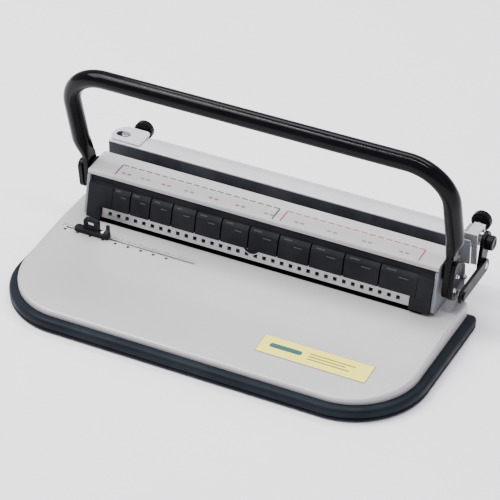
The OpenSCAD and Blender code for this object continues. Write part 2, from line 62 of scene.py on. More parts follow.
# ---------------------------------------------------------------- places, from the frame
MM = 0.001
deck_low, deck_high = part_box("deck_plate")
bumper_low, bumper_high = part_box("bumper")
cover_low, cover_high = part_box("top_cover")
bar_low, bar_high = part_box("closing_bar")
frame_out = -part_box("side_frame_left")[0].x
strip_low, strip_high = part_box("ring_strip")
block_low, block_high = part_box("gauge_blocks")
rail_low, rail_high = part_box("guide_rail")
flat_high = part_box("handle_ends")[1]
lever_low, lever_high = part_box("handle_lever_right")
tube_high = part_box("handle_bar")[1]
joint_at = {j["name"]: Vector(j["pos_m"]) for j in frame["joints"] if "pos_m" in j}
drive_axis = joint_at["handle_pull"]
tail_axis = joint_at["link_swing"]
rear_axis = joint_at["rear_crank_turn"]
crank_axis = rear_axis + (tail_axis - drive_axis)
link_low, link_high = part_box("coupler_link")
crank_low, crank_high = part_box("crank_arm")
ear_low, ear_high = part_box("closing_ear_left")

CORNER_R = 60 * MM
BACK_CORNER_R = 6 * MM
DECK_DROP = 8 * MM
BEND_Y = 7.2 * MM
FACE_LEAN = math.radians(14)
ROOF_RISE = math.radians(3)
HANDLE_LEAN = math.radians(14)
TUBE_BEND_R = 38 * MM
BLOCK_COUNT = 11
BLOCK_WIDTH = 18.2 * MM
BLOCK_GROWTH = 1.72 * MM
GUIDE_PITCH = 12.7 * MM
KNOB_STUD = {"knob_left": 3.9 * MM, "knob_right": 7.4 * MM}
POINT = 0.01 * MM  # radius that closes a turned profile on its axis


# ---------------------------------------------------------------- outlines
def arc(centre, radius, start, end, steps):
    """Points on a circle, angles in degrees."""
    turns = [math.radians(start + (end - start) * i / steps) for i in range(steps + 1)]
    return [(centre[0] + radius * math.cos(t), centre[1] + radius * math.sin(t)) for t in turns]


def fillet(corners, radius, steps=4):
    """Outline whose corners are rounded; a corner may give its own radius as a third value."""
    made, count = [], len(corners)
    for i, corner in enumerate(corners):
        here = Vector(corner[:2])
        before = (Vector(corners[i - 1][:2]) - here)
        after = (Vector(corners[(i + 1) % count][:2]) - here)
        r = corner[2] if len(corner) > 2 else radius
        half = before.angle(after) / 2
        reach = min(r / math.tan(half), 0.49 * before.length, 0.49 * after.length) if r > 0 else 0
        if reach < 1e-7 or half > math.radians(88):
            made.append(tuple(here))
            continue
        a, b = here + before.normalized() * reach, here + after.normalized() * reach
        for k in range(steps + 1):
            t = k / steps
            made.append(tuple(a * (1 - t) ** 2 + here * 2 * t * (1 - t) + b * t * t))
    return made


def polar(radius, angle, height):
    """Point at a distance and angle round the z axis."""
    return Vector((radius * math.cos(angle), radius * math.sin(angle), height))


def turned(axis):
    """Rotation that carries the z axis to another axis."""
    return Vector((0, 0, 1)).rotation_difference(Vector(axis)).to_matrix()


def bar_outline(a, b, ra, rb, steps=14):
    """Flat bar with round ends between two points."""
    a, b = Vector(a), Vector(b)
    run = b - a
    turn = math.degrees(math.atan2(run.y, run.x))
    lean = math.degrees(math.acos((ra - rb) / run.length))
    return arc(b, rb, turn - lean, turn + lean, steps) + arc(a, ra, turn + lean, turn + 360 - lean, steps)


# ---------------------------------------------------------------- mesh building
class Build:
    """Collects solids into one mesh and turns them into a piece that rides on a body."""

    def __init__(self):
        self.bm = bmesh.new()

    def faces(self, rings, caps=True):
        """Skin over closed rings of points with equal counts."""
        rows = [[self.bm.verts.new(p) for p in ring] for ring in rings]
        count = len(rows[0])
        for low, high in zip(rows, rows[1:]):
            for k in range(count):
                self.bm.faces.new((low[k], low[(k + 1) % count], high[(k + 1) % count], high[k]))
        if caps:
            self.bm.faces.new(rows[0][::-1])
            self.bm.faces.new(rows[-1])
        return rows

    def prism(self, outline, axis, low, high):
        """Outline pushed along an axis: (y, z) along x, (x, z) along y, (x, y) along z."""
        put = {"x": lambda p, h: (h, p[0], p[1]),
               "y": lambda p, h: (p[0], h, p[1]),
               "z": lambda p, h: (p[0], p[1], h)}
        self.faces([[Vector(put[axis](p, h)) for p in outline] for h in (low, high)])
        return self

    def box(self, low, high):
        return self.prism([(low[0], low[1]), (high[0], low[1]), (high[0], high[1]), (low[0], high[1])],
                          "z", low[2], high[2])

    def lathe(self, profile, origin, axis, steps=40):
        """Profile of (radius, height) pairs turned about an axis through origin."""
        turn, origin = turned(axis), Vector(origin)
        angles = [2 * math.pi * k / steps for k in range(steps)]
        self.faces([[origin + turn @ polar(r, a, h) for a in angles] for r, h in profile])

    def rod(self, radius, length, origin, axis, steps):
        """Plain round rod from origin along an axis."""
        self.lathe([(POINT, 0), (radius, 0), (radius, length), (POINT, length)], origin, axis, steps)

    def object(self, name):
        bmesh.ops.recalc_face_normals(self.bm, faces=self.bm.faces)
        mesh = bpy.data.meshes.new(name)
        self.bm.to_mesh(mesh)
        self.bm.free()
        made = bpy.data.objects.new(name, mesh)
        bpy.context.scene.collection.objects.link(made)
        return made

    def piece(self, name, body, slot, material, nodes=(), bevel=0.0, segments=2, smooth=35):
        return finish_piece(self.object(name), body, material, nodes, bevel, segments, smooth)


def finish_piece(made, body, material, nodes=(), bevel=0.0, segments=2, smooth=35):
    """Edges rounded, shading set, material given, and the piece put on its body."""
    made.data.materials.clear()
    made.data.materials.append(material)
    made.data.shade_smooth()
    made.data.set_sharp_from_angle(angle=math.radians(smooth))
    if bevel:
        rounding = made.modifiers.new("rounding", "BEVEL")
        rounding.width = bevel
        rounding.segments = segments
        rounding.limit_method = "ANGLE"
        rounding.angle_limit = math.radians(smooth)
        rounding.harden_normals = True
        rounding.use_clamp_overlap = True
    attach(made, body)
    if nodes:
        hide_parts(*nodes)
    return made


def applied(made):
    """The object with its modifiers made part of its mesh."""
    bpy.context.view_layer.update()
    graph = bpy.context.evaluated_depsgraph_get()
    mesh = bpy.data.meshes.new_from_object(made.evaluated_get(graph))
    made.modifiers.clear()
    made.data = mesh
    return made


def cut(made, cutter):
    """Takes the cutter's volume out of the object."""
    step = made.modifiers.new("cut", "BOOLEAN")
    step.operation = "DIFFERENCE"
    step.solver = "EXACT"
    step.object = cutter
    applied(made)
    bpy.data.objects.remove(cutter)
    return made


node_body = {n: b for b, names in frame["record"]["behaviour"]["bodies"].items() for n in names}
node_slot = {s["node"]: s["material_slot"] for s in frame["record"]["subparts"]}


def refined(node, material, bevel):
    """The CAD node's own shape with its flat faces joined and its edges softly rounded."""
    same_point, same_plane = 0.5e-6, math.radians(1.0)
    made = Build()
    made.bm.from_mesh(frame["nodes"][node].data)
    bmesh.ops.remove_doubles(made.bm, verts=made.bm.verts, dist=same_point)
    bmesh.ops.dissolve_limit(made.bm, angle_limit=same_plane, verts=made.bm.verts, edges=made.bm.edges)
    made.piece(node + "_finished", node_body[node], node_slot[node], material, [node], bevel, smooth=32)


def refined_all(material, widths):
    """Refines nodes that share a material; widths gives each one's edge rounding in millimetres."""
    for node, width in widths.items():
        refined(node, material, width * MM)


# ---------------------------------------------------------------- materials
def new_material(name, roughness, metallic=0.0, coat=0.0, coat_roughness=0.1, specular=0.5):
    made = bpy.data.materials.new(name)
    made.use_nodes = True
    shader = made.node_tree.nodes["Principled BSDF"]
    shader.inputs["Roughness"].default_value = roughness
    shader.inputs["Metallic"].default_value = metallic
    shader.inputs["Coat Weight"].default_value = coat
    shader.inputs["Coat Roughness"].default_value = coat_roughness
    shader.inputs["Specular IOR Level"].default_value = specular
    return made, made.node_tree, shader


def noise(tree, scale, detail=4.0, stretch=(1, 1, 1), rough=0.55):
    """Noise in the object's own space, in which one unit is a metre."""
    place = tree.nodes.new("ShaderNodeTexCoord")
    mapping = tree.nodes.new("ShaderNodeMapping")
    mapping.inputs["Scale"].default_value = stretch
    made = tree.nodes.new("ShaderNodeTexNoise")
    made.inputs["Scale"].default_value = scale
    made.inputs["Detail"].default_value = detail
    made.inputs["Roughness"].default_value = rough
    tree.links.new(place.outputs["Object"], mapping.inputs["Vector"])
    tree.links.new(mapping.outputs["Vector"], made.inputs["Vector"])
    return made.outputs["Fac"]


def remap(tree, value, low, high):
    """The middle band of a noise spread over low to high."""
    made = tree.nodes.new("ShaderNodeMapRange")
    made.inputs["From Min"].default_value = 0.3
    made.inputs["From Max"].default_value = 0.7
    made.inputs["To Min"].default_value = low
    made.inputs["To Max"].default_value = high
    tree.links.new(value, made.inputs["Value"])
    return made.outputs["Result"]


def two_tone(tree, value, dark, light, low=0.35, high=0.65):
    """Two colours blended by a noise."""
    ramp = tree.nodes.new("ShaderNodeValToRGB")
    ramp.color_ramp.elements[0].position = low
    ramp.color_ramp.elements[0].color = (*dark, 1)
    ramp.color_ramp.elements[1].position = high
    ramp.color_ramp.elements[1].color = (*light, 1)
    tree.links.new(value, ramp.inputs["Fac"])
    return ramp.outputs["Color"]


def mixed(tree, first, second, share):
    mix = tree.nodes.new("ShaderNodeMix")
    mix.data_type = "RGBA"
    mix.inputs["Factor"].default_value = share
    tree.links.new(first, mix.inputs["A"])
    tree.links.new(second, mix.inputs["B"])
    return mix.outputs["Result"]


def bump(tree, shader, value, depth, strength=1.0, before=None):
    made = tree.nodes.new("ShaderNodeBump")
    made.inputs["Distance"].default_value = depth
    made.inputs["Strength"].default_value = strength
    tree.links.new(value, made.inputs["Height"])
    if before:
        tree.links.new(before, made.inputs["Normal"])
    tree.links.new(made.outputs["Normal"], shader.inputs["Normal"])
    return made.outputs["Normal"]


def finish(tree, shader, colour, gloss):
    """Colour and roughness given to the shader."""
    tree.links.new(colour, shader.inputs["Base Color"])
    tree.links.new(gloss, shader.inputs["Roughness"])


def painted_silver(name, dark, light, roughness):
    """Satin silver enamel: fine metal flake, a slight orange peel and cloudy handling marks."""
    made, tree, shader = new_material(name, roughness, metallic=0.25, coat=0.12, coat_roughness=0.3)
    flake = two_tone(tree, noise(tree, 2600, 2), dark, light)
    cloud = two_tone(tree, noise(tree, 9, 3), dark, light, 0.3, 0.7)
    gloss = remap(tree, noise(tree, 22, 5), roughness - 0.06, roughness + 0.08)
    finish(tree, shader, mixed(tree, flake, cloud, 0.55), gloss)
    peel = bump(tree, shader, noise(tree, 420, 2), 0.00004, 0.5)
    bump(tree, shader, noise(tree, 2600, 1), 0.00001, 0.4, peel)
    return made


def black_plastic(name, dark, light, roughness, grain, depth, specular):
    """Moulded black plastic or rubber: spark-eroded grain, duller where it is handled."""
    made, tree, shader = new_material(name, roughness, specular=specular)
    gloss = remap(tree, noise(tree, 55, 6), roughness - 0.08, roughness + 0.1)
    finish(tree, shader, two_tone(tree, noise(tree, 30, 6), dark, light), gloss)
    bump(tree, shader, noise(tree, grain, 3), depth, 0.7)
    return made


def gloss_enamel(name, dark, light, roughness, specular):
    """Thick black enamel over steel, with faint flow marks and uneven gloss."""
    made, tree, shader = new_material(name, roughness, specular=specular)
    gloss = remap(tree, noise(tree, 90, 5), roughness - 0.04, roughness + 0.09)
    finish(tree, shader, two_tone(tree, noise(tree, 45, 4), dark, light), gloss)
    bump(tree, shader, noise(tree, 160, 2), 0.00003, 0.25)
    return made


def metal(name, dark, light, roughness, stretch=(1, 30, 30), scale=60):
    """Bare or plated metal with fine drawn lines along one direction."""
    made, tree, shader = new_material(name, roughness, metallic=1.0)
    lines = noise(tree, scale, 5, stretch, 0.65)
    gloss = remap(tree, lines, roughness - 0.08, roughness + 0.12)
    finish(tree, shader, two_tone(tree, lines, dark, light, 0.3, 0.7), gloss)
    bump(tree, shader, lines, 0.00002, 0.5)
    return made


def thin_flat_colour(name, colour, light):
    """Thin, slightly uneven flat colour: screen ink for the label and the marks on the covers, and also the
    grey dashes that are painted highlights on the gauge blocks.
    """
    made, tree, shader = new_material(name, 0.55)
    ink = two_tone(tree, noise(tree, 900, 3), colour, light, 0.35, 0.75)
    finish(tree, shader, ink, remap(tree, noise(tree, 300, 3), 0.48, 0.65))
    return made


deck_paint = painted_silver("deck_paint", (0.40, 0.405, 0.395), (0.47, 0.47, 0.455), 0.44)
cover_paint = painted_silver("cover_paint", (0.405, 0.405, 0.395), (0.48, 0.475, 0.46), 0.46)
bar_paint = painted_silver("bar_paint", (0.48, 0.495, 0.50), (0.56, 0.57, 0.575), 0.42)
# Darker, bluish copy of the silver paint for the side frames: painted shade on their shadowed sides
frame_silver_painted_shade = painted_silver("frame_silver_painted_shade", (0.15, 0.17, 0.185), (0.21, 0.23, 0.245), 0.42)
rubber = black_plastic("bumper_rubber", (0.004, 0.0068, 0.0102), (0.008, 0.0126, 0.017),
                       roughness=0.5, grain=1400, depth=0.00005, specular=0.11)
dark_plastic = black_plastic("dark_plastic", (0.0065, 0.0078, 0.009), (0.014, 0.0158, 0.0178),
                             roughness=0.45, grain=1100, depth=0.00003, specular=0.10)
tray_plastic = black_plastic("black_plastic", (0.003, 0.0033, 0.0036), (0.007, 0.0073, 0.008),
                             roughness=0.55, grain=700, depth=0.00003, specular=0.1)
knob_plastic = gloss_enamel("knob_plastic", (0.002, 0.002, 0.0024), (0.005, 0.0047, 0.0047), 0.30, 0.09)
gloss_black = gloss_enamel("gloss_black", (0.0006, 0.0008, 0.0012), (0.0016, 0.0021, 0.0027), 0.12, 0.12)
# Black enamel on the levers, link, crank and drive shaft; on the die plate and pin guide this black is
# painted shade inside the throat under the ring strip
black_steel = gloss_enamel("black_steel", (0.0016, 0.0019, 0.0022), (0.004, 0.0045, 0.005), 0.34, 0.13)
# Dark grey for the closing jaw, the wall seen down the slot behind the top cover: painted shade in the slot
jaw_painted_shade = gloss_enamel("jaw_painted_shade", (0.034, 0.040, 0.044), (0.058, 0.066, 0.072), 0.50, 0.15)
zinc = metal("zinc", (0.50, 0.51, 0.50), (0.68, 0.685, 0.66), 0.38)
strip_zinc = metal("strip_zinc", (0.42, 0.43, 0.42), (0.56, 0.565, 0.55), 0.42)
rail_zinc = metal("rail_zinc", (0.58, 0.59, 0.585), (0.72, 0.725, 0.71), 0.45)
steel = metal("steel", (0.38, 0.39, 0.40), (0.56, 0.57, 0.58), 0.32)
dull_steel = metal("dull_steel", (0.20, 0.21, 0.215), (0.32, 0.33, 0.335), 0.42, (1, 1, 1), 300)
bright_steel = metal("bright_steel", (0.66, 0.67, 0.68), (0.82, 0.83, 0.84), 0.2, (1, 1, 1), 400)
label_yellow = thin_flat_colour("label_yellow", (0.94, 0.83, 0.09), (0.99, 0.90, 0.15))
ink_black = thin_flat_colour("ink_black", (0.012, 0.014, 0.018), (0.03, 0.033, 0.037))
ink_red = thin_flat_colour("ink_red", (0.22, 0.035, 0.03), (0.32, 0.08, 0.065))
ink_green = thin_flat_colour("ink_green", (0.005, 0.07, 0.065), (0.012, 0.12, 0.105))
ink_grey = thin_flat_colour("ink_grey", (0.15, 0.13, 0.12), (0.25, 0.22, 0.20))
# Slightly lighter grey for the gauge block dashes: painted highlights, not ink
block_glint_grey = thin_flat_colour("block_glint_grey", (0.03, 0.032, 0.035), (0.06, 0.063, 0.068))


# ---------------------------------------------------------------- base and deck
def deck_top(y):
    """Height of the deck at y, with the bend eased over a few millimetres."""
    slope, ease = DECK_DROP / (BEND_Y - deck_low.y), 5 * MM
    run = BEND_Y - y
    if run <= -ease:
        return deck_high.z
    if run >= ease:
        return deck_high.z - slope * run
    return deck_high.z - slope * (run + ease) ** 2 / (4 * ease)


def plan_half(inset, side_ys):
    """Right half of the deck's plan, from the front edge round to the back edge."""
    x, y0, y1 = deck_high.x - inset, deck_low.y + inset, deck_high.y - inset
    r, small = CORNER_R - inset, max(BACK_CORNER_R - inset, 0.5 * MM)
    front = arc((x - r, y0 + r), r, -90, 0, 28)
    return front + [(x, y) for y in side_ys] + arc((x - small, y1 - small), small, 0, 90, 6)


def deck():
    """Bent sheet with a rounded edge, a slot for the edge guide and an opening over the die."""
    edge_r, sheet, front_steps = 2.8 * MM, 1.5 * MM, 29
    side_ys = [BEND_Y + d * MM for d in (-6, -4, -2, 0, 2, 4, 6)]

    def ring(inset, drop, bottom=False):
        half = plan_half(inset, side_ys)
        full = half + [(-x, y) for x, y in reversed(half)]
        return [(x, y, deck_low.z if bottom else deck_top(y) - drop) for x, y in full]

    rings = [ring(0, 0, True)]
    for k in range(9):
        t = math.radians(90 * k / 8)
        rings.append(ring(edge_r * (1 - math.cos(t)), edge_r * (1 - math.sin(t))))
    made = Build()
    top = made.faces(rings, caps=False)[-1]
    last = len(top) - 1
    made.bm.faces.new([top[i] for i in range(front_steps + 1)]
                      + [top[last - i] for i in range(front_steps, -1, -1)])
    for i in range(front_steps, front_steps + len(side_ys) - 1):
        made.bm.faces.new((top[i], top[i + 1], top[last - i - 1], top[last - i]))
    back = front_steps + len(side_ys) - 1
    made.bm.faces.new(top[back:len(top) - back])
    plate = made.object("deck")
    shell = plate.modifiers.new("sheet", "SOLIDIFY")
    shell.thickness = sheet
    shell.offset = -1
    applied(plate)
    cut(plate, channel_cutter())
    die_low, die_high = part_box("die_plate")
    room = 0.5 * MM
    hole = fillet([(die_low.x - room, die_low.y - room), (die_high.x + room, die_low.y - room),
                   (die_high.x + room, die_high.y + room), (die_low.x - room, die_high.y + room)], 1 * MM)
    cut(plate, Build().prism(hole, "z", deck_high.z - 5 * MM, deck_high.z + 1 * MM).object("die_hole"))
    finish_piece(plate, "base", deck_paint, ["deck_plate"])


def channel_cutter():
    """Slot for the edge guide, with a stop notch in its front edge every half inch."""
    notch_w, notch_d, first = 3.2 * MM, 2.6 * MM, -73.6 * MM
    room = 0.12 * MM
    x0, x1, y0, y1 = rail_low.x - room, rail_high.x + room, rail_low.y - room, rail_high.y + room
    outline = [(x1, y0, 1.5 * MM), (x1, y1, 1.5 * MM), (x0, y1, 1.5 * MM), (x0, y0, 1.5 * MM)]
    for i in range(8, -1, -1):
        x = first - i * GUIDE_PITCH
        outline += [(x - notch_w / 2, y0), (x - notch_w / 2 + 0.5 * MM, y0 - notch_d),
                    (x + notch_w / 2 - 0.5 * MM, y0 - notch_d), (x + notch_w / 2, y0)]
    slot = Build().prism(fillet(outline, 0.25 * MM, 2), "z", deck_high.z - 5 * MM, deck_high.z + 1 * MM)
    return slot.object("channel")


def rail_floor():
    """Bright strip that closes the channel from below, under the keel of the edge guide."""
    end, half, mid = 3.6 * MM, 1.3 * MM, (rail_low.y + rail_high.y) / 2
    made = Build().box((rail_low.x + end, mid - half, rail_low.z + 0.05 * MM),
                       (rail_high.x - end, mid + half, rail_low.z + 0.35 * MM))
    made.piece("guide_rail_floor", "base", None, rail_zinc, bevel=0.05 * MM)


def bumper():
    """Black rubber rim: a rounded upper band, a groove, a thin lip at the foot, and rounded rear ends."""
    out = bumper_high.x - deck_high.x
    low, high = bumper_low.z, bumper_high.z
    inside = -3.6 * MM
    profile = [(inside, low + 0.6 * MM), (inside, high)]
    profile += [(out - 4.2 * MM + u, high - 4.2 * MM + v) for u, v in arc((0, 0), 4.2 * MM, 90, 0, 8)]
    profile += [(out, low + 5.6 * MM)]
    profile += [(out - 1.2 * MM + u, low + 5.0 * MM + v) for u, v in arc((0, 0), 1.2 * MM, 0, -90, 4)]
    profile += [(out - 2.2 * MM, low + 3.6 * MM), (out - 2.2 * MM, low + 3.2 * MM)]
    profile += [(out - 0.9 * MM, low + 2.9 * MM)]
    profile += [(out - 1.6 * MM + u, low + 1.4 * MM + v) for u, v in arc((0, 0), 1.4 * MM, 35, -90, 5)]
    x, front = deck_high.x, deck_low.y + CORNER_R
    centre_x = x - CORNER_R
    back, end_r = bumper_high.y, 7 * MM
    stations = []
    for k in range(9):
        t = math.radians(90 * k / 8)
        at = Vector((x, back - end_r + end_r * math.cos(t)))
        stations.append((at, Vector((1, 0)), max(math.sin(t), 0.06)))
    for k in range(31):
        t = math.radians(-90 * k / 30)
        n = Vector((math.cos(t), math.sin(t)))
        stations.append((Vector((centre_x, front)) + n * CORNER_R, n, 1))
    stations += [(Vector((-p.x, p.y)), Vector((-n.x, n.y)), s) for p, n, s in reversed(stations)]
    mid_u, mid_z = (inside + out) / 2, (low + high) / 2
    rings = []
    for p, n, s in stations:
        ring = []
        for u, z in profile:
            su, sz = mid_u + (u - mid_u) * (0.35 + 0.65 * s), mid_z + (z - mid_z) * (0.25 + 0.75 * s)
            at = p + n * su
            ring.append((at.x, at.y, sz))
        rings.append(ring)
    made = Build()
    made.faces(rings)
    made.piece("bumper_rim", "base", "bumper_rubber", rubber, ["bumper"], smooth=50)


def label():
    """Plain plate with a thin rim and an abstract pattern of bars."""
    low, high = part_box("label_plate")
    slope = DECK_DROP / (BEND_Y - deck_low.y)
    turn = Matrix.Rotation(math.atan(slope), 3, "X")
    centre = Vector(((low.x + high.x) / 2, (low.y + high.y) / 2, 0))
    centre.z = deck_high.z - slope * (BEND_Y - centre.y)
    half_x, half_y = (high.x - low.x) / 2, (high.y - low.y) / 2

    def plate(name, x_span, y_span, z_span, r, material, slot=None, nodes=()):
        (x0, x1), (y0, y1) = x_span, y_span
        made = Build().prism(fillet([(x0, y0), (x1, y0), (x1, y1), (x0, y1)], r), "z", *z_span)
        for v in made.bm.verts:
            v.co = turn @ v.co + centre
        made.piece(name, "base", slot, material, nodes, bevel=0.08 * MM)

    def within(half, inset):
        return -half + inset, half - inset

    thick, rim, border = 0.5 * MM, 0.2 * MM, 0.7 * MM
    plate("label_back", within(half_x, rim), within(half_y, rim), (0, thick - 0.12 * MM),
          1.2 * MM, ink_grey)
    plate("label_face", within(half_x, border), within(half_y, border), (0.02 * MM, thick - 0.02 * MM),
          0.9 * MM, label_yellow, "label_yellow", ["label_plate"])
    raised = (thick - 0.06 * MM, thick)
    plate("label_bar", (-42 * MM, -12 * MM), (-2.2 * MM, 3.2 * MM), raised, 2.6 * MM, ink_green)
    pitch, half_line = 3.4 * MM, 0.55 * MM
    for k, end in enumerate((36, 28, 33)):
        y = pitch * (1 - k)
        span_y = (y - half_line, y + half_line)
        plate(f"label_line_{k}", (-6 * MM, end * MM), span_y, raised, 0.4 * MM, ink_black)


deck()
rail_floor()
bumper()
label()
refined_all(tray_plastic, {"base_tray": 0.4, "chip_drawer": 0.5})
refined_all(rubber, {"rubber_feet": 0.5})
refined_all(bright_steel, {"base_screws": 0.3})
refined_all(rail_zinc, {"guide_rail": 0.25})
# The die plate is made black as painted shade in the throat under the strip
refined_all(black_steel, {"die_plate": 0.2})


# ---------------------------------------------------------------- punch body
def roof(y):
    """Height of the top cover's sloping top at y."""
    return cover_high.z - (cover_high.y - y) * math.tan(ROOF_RISE)


def face_y(z, back):
    """Depth of the leaning front face at height z, set back by a distance."""
    return strip_low.y + (z - strip_low.z) * math.tan(FACE_LEAN) + back


def top_cover():
    """Folded sheet: front lip, rounded fold, sloping top, and a flange down into the slot."""
    sheet = 1.2 * MM
    y0, y1 = cover_low.y, cover_high.y
    lip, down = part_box("front_fascia")[1].z + 0.2 * MM, cover_low.z
    fold = 1.7 * MM
    outline = [(y0, lip, 0.3 * MM), (y0, roof(y0), fold),
               (y1, cover_high.z, 1.4 * MM), (y1, down, 0.2 * MM),
               (y1 - sheet, down, 0.2 * MM), (y1 - sheet, roof(y1 - sheet) - sheet, 0.5 * MM),
               (y0 + sheet, roof(y0) - sheet, 0.5 * MM), (y0 + sheet, lip, 0.3 * MM)]
    made = Build().prism(fillet(outline, 0.3 * MM, 5), "x", cover_low.x, cover_high.x)
    made.piece("top_cover_sheet", "base", "cover_paint", cover_paint, ["top_cover"],
               bevel=0.25 * MM, smooth=38)


def block_edge(i):
    """Left edge of the space for gauge block i; each block is a little wider than the one before."""
    return block_low.x - 0.7 * MM + i * BLOCK_WIDTH + BLOCK_GROWTH * i * (i - 1) / 2


def gauge_blocks():
    """Eleven graded black blocks on the leaning face, each with a sloped upper ledge."""
    space, back = 0.7 * MM, 2.5 * MM
    z0, z1 = block_low.z, block_high.z
    depth = face_y(z0, 0) - block_low.y
    made = Build()
    for i in range(BLOCK_COUNT):
        x0, x1 = block_edge(i) + space, block_edge(i + 1) - space
        side = [(face_y(z0, -depth), z0, 0.5 * MM), (face_y(z0, back), z0, 0.2 * MM),
                (face_y(z1, back), z1, 0.2 * MM), (face_y(z1, 0.2 * MM), z1, 0.4 * MM),
                (face_y(z1 - 3.2 * MM, -depth), z1 - 3.2 * MM, 0.8 * MM)]
        made.prism(fillet(side, 0.4 * MM, 3), "x", x0, x1)
    made.piece("gauge_block_row", "base", "dark_plastic", dark_plastic, ["gauge_blocks"],
               bevel=0.45 * MM, segments=3)


def block_glints():
    """Two low raised grey dashes on each block, one on its ledge and one under it: painted highlights where
    the block edges catch the light.
    """
    depth = face_y(block_low.z, 0) - block_low.y
    half_z, proud, deep = 0.35 * MM, 0.15 * MM, 0.8 * MM
    rows = ((0.62, block_high.z - 5.6 * MM, -depth), (0.28, block_high.z - 1.4 * MM, -depth * 0.52))
    made = Build()
    for i in range(BLOCK_COUNT):
        width = BLOCK_WIDTH + BLOCK_GROWTH * i
        for share, z, face in rows:
            centre, half_x = block_edge(i) + share * width, 0.13 * width
            z0, z1 = z - half_z, z + half_z
            side = [(face_y(z0, face - proud), z0), (face_y(z1, face - proud), z1),
                    (face_y(z1, face + deep), z1), (face_y(z0, face + deep), z0)]
            made.prism(side, "x", centre - half_x, centre + half_x)
    # The dashes are painted highlights on the block edges
    made.piece("gauge_block_painted_glints", "base", None, block_glint_grey, bevel=0.05 * MM)


def centre_mark():
    """Flat half-round mark with a thin pale rim, hanging from the strip's upper edge."""
    low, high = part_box("centre_mark")
    x, radius, tall = (low.x + high.x) / 2, 9.7 * MM, 4.6 * MM
    turn = Matrix.Rotation(math.pi / 2 - FACE_LEAN, 3, "X")
    foot = Vector((x, face_y(strip_high.z, 0), strip_high.z))
    drop = radius - tall

    def half_round(r, low_edge):
        span = math.degrees(math.acos(min(1.0, (drop + low_edge) / r)))
        return [(px, drop - py) for px, py in arc((0, 0), r, 90 - span, 90 + span, 22)]

    def plate(name, outline, z0, z1, material, slot=None, nodes=()):
        made = Build().prism(outline, "z", z0, z1)
        for v in made.bm.verts:
            v.co = turn @ v.co + foot
        made.piece(name, "base", slot, material, nodes, bevel=0.06 * MM, smooth=30)

    plate("centre_mark_rim", half_round(radius, 0), 0, 0.85 * MM, strip_zinc)
    plate("centre_mark_face", half_round(radius - 0.7 * MM, 0.25 * MM), 0.05 * MM, 1.0 * MM,
          dark_plastic, "dark_plastic", ["centre_mark"])


def on_roof(name, bars, material):
    """Thin bars of ink on the top cover; each is (x0, y0, x1, y1, width)."""
    lift, ink = 0.02 * MM, 0.05 * MM
    made = Build()
    for x0, y0, x1, y1, width in bars:
        along = Vector((x1 - x0, y1 - y0)).normalized() * (width / 2)
        across = Vector((-along.y, along.x))
        a, b = Vector((x0, y0)), Vector((x1, y1))
        corners = [a - across, b - across, b + across, a + across]
        made.faces([[(p.x, p.y, roof(p.y) + lift + h) for p in corners] for h in (0, ink)])
    made.piece(name, "base", None, material)


def dashed(x0, x1, y, dash, space, width):
    """Dashes from x0 to x1 at y, starting and ending with a whole dash."""
    count = round((x1 - x0 + space) / (dash + space))
    step = (x1 - x0 - dash) / (count - 1)
    return [(x0 + i * step, y, x0 + i * step + dash, y, width) for i in range(count)]


def print_on_cover():
    """Two dashed brackets and a plain tick pair over each gauge block, in place of size marks."""
    line = 1.35 * MM
    y_near, y_ticks, y_far = 31.6 * MM, 36.4 * MM, 47.4 * MM
    brackets = (("bracket_black", -143.5 * MM, 11.2 * MM, ink_black),
                ("bracket_red", 18.8 * MM, 149 * MM, ink_red))
    for name, x0, x1, ink in brackets:
        bars = dashed(x0, x1, y_far, 5.8 * MM, 2.2 * MM, line)
        bars += [(x, y_near, x, y_far, line) for x in (x0, x1)]
        on_roof(name, bars, ink)
    shift, thick, red_blocks = -1.5 * MM, 2.0 * MM, (0, 2, 4, 5)
    grey, red = [], []
    for i in range(BLOCK_COUNT):
        centre = (block_edge(i) + block_edge(i + 1)) / 2 + shift
        bars = red if i in red_blocks else grey
        for x0, x1 in ((-4.6, -1.0), (1.0, 4.6)):
            bars.append((centre + x0 * MM, y_ticks, centre + x1 * MM, y_ticks, thick))
    on_roof("size_ticks_grey", grey, ink_grey)
    on_roof("size_ticks_red", red, ink_red)


def print_on_deck():
    """Fine scale dashes behind the channel of the edge guide."""
    lift, ink, y, half = 0.02 * MM, 0.05 * MM, rail_high.y + 1.3 * MM, 0.3 * MM
    first, count = -180.5 * MM, 10
    made = Build()
    for i in range(count):
        x0 = first + i * GUIDE_PITCH
        for a, b in ((0, 5.2 * MM), (7.4 * MM, 9.4 * MM)):
            corners = [(x0 + a, y - half), (x0 + b, y - half), (x0 + b, y + half), (x0 + a, y + half)]
            made.faces([[(px, py, deck_top(py) + lift + h) for px, py in corners] for h in (0, ink)])
    made.piece("scale_dashes", "base", None, ink_grey)


def closing_bar():
    """Folded plate that rises to a crest and falls away to its rear edge; its left rear corner is round."""
    x0, x1, y0, y1 = bar_low.x, bar_high.x, bar_low.y, bar_high.y
    low, step, r = bar_low.z, 1.5 * MM, 10 * MM
    crest = y1 - 6.8 * MM
    rise = bar_high.z - low - step
    side = [(y0, low, 0.3 * MM), (y0, low + step, 0.7 * MM), (crest, low + step + rise * 0.86, 0.8 * MM),
            (y1, bar_high.z - 1.1 * MM, 0.9 * MM), (y1, low, 0.5 * MM)]
    plate = Build().prism(fillet(side, 0.4 * MM, 5), "x", x0, x1).object("closing_bar_plate")
    off = arc((x0 + r, y1 - r), r, 180, 90, 10)
    off += [(x0 + r, y1 + 2 * MM), (x0 - 2 * MM, y1 + 2 * MM), (x0 - 2 * MM, y1 - r)]
    cut(plate, Build().prism(off, "z", low - 1 * MM, bar_high.z + 1 * MM).object("bar_corner"))
    finish_piece(plate, "closer", bar_paint, ["closing_bar"], bevel=0.3 * MM)


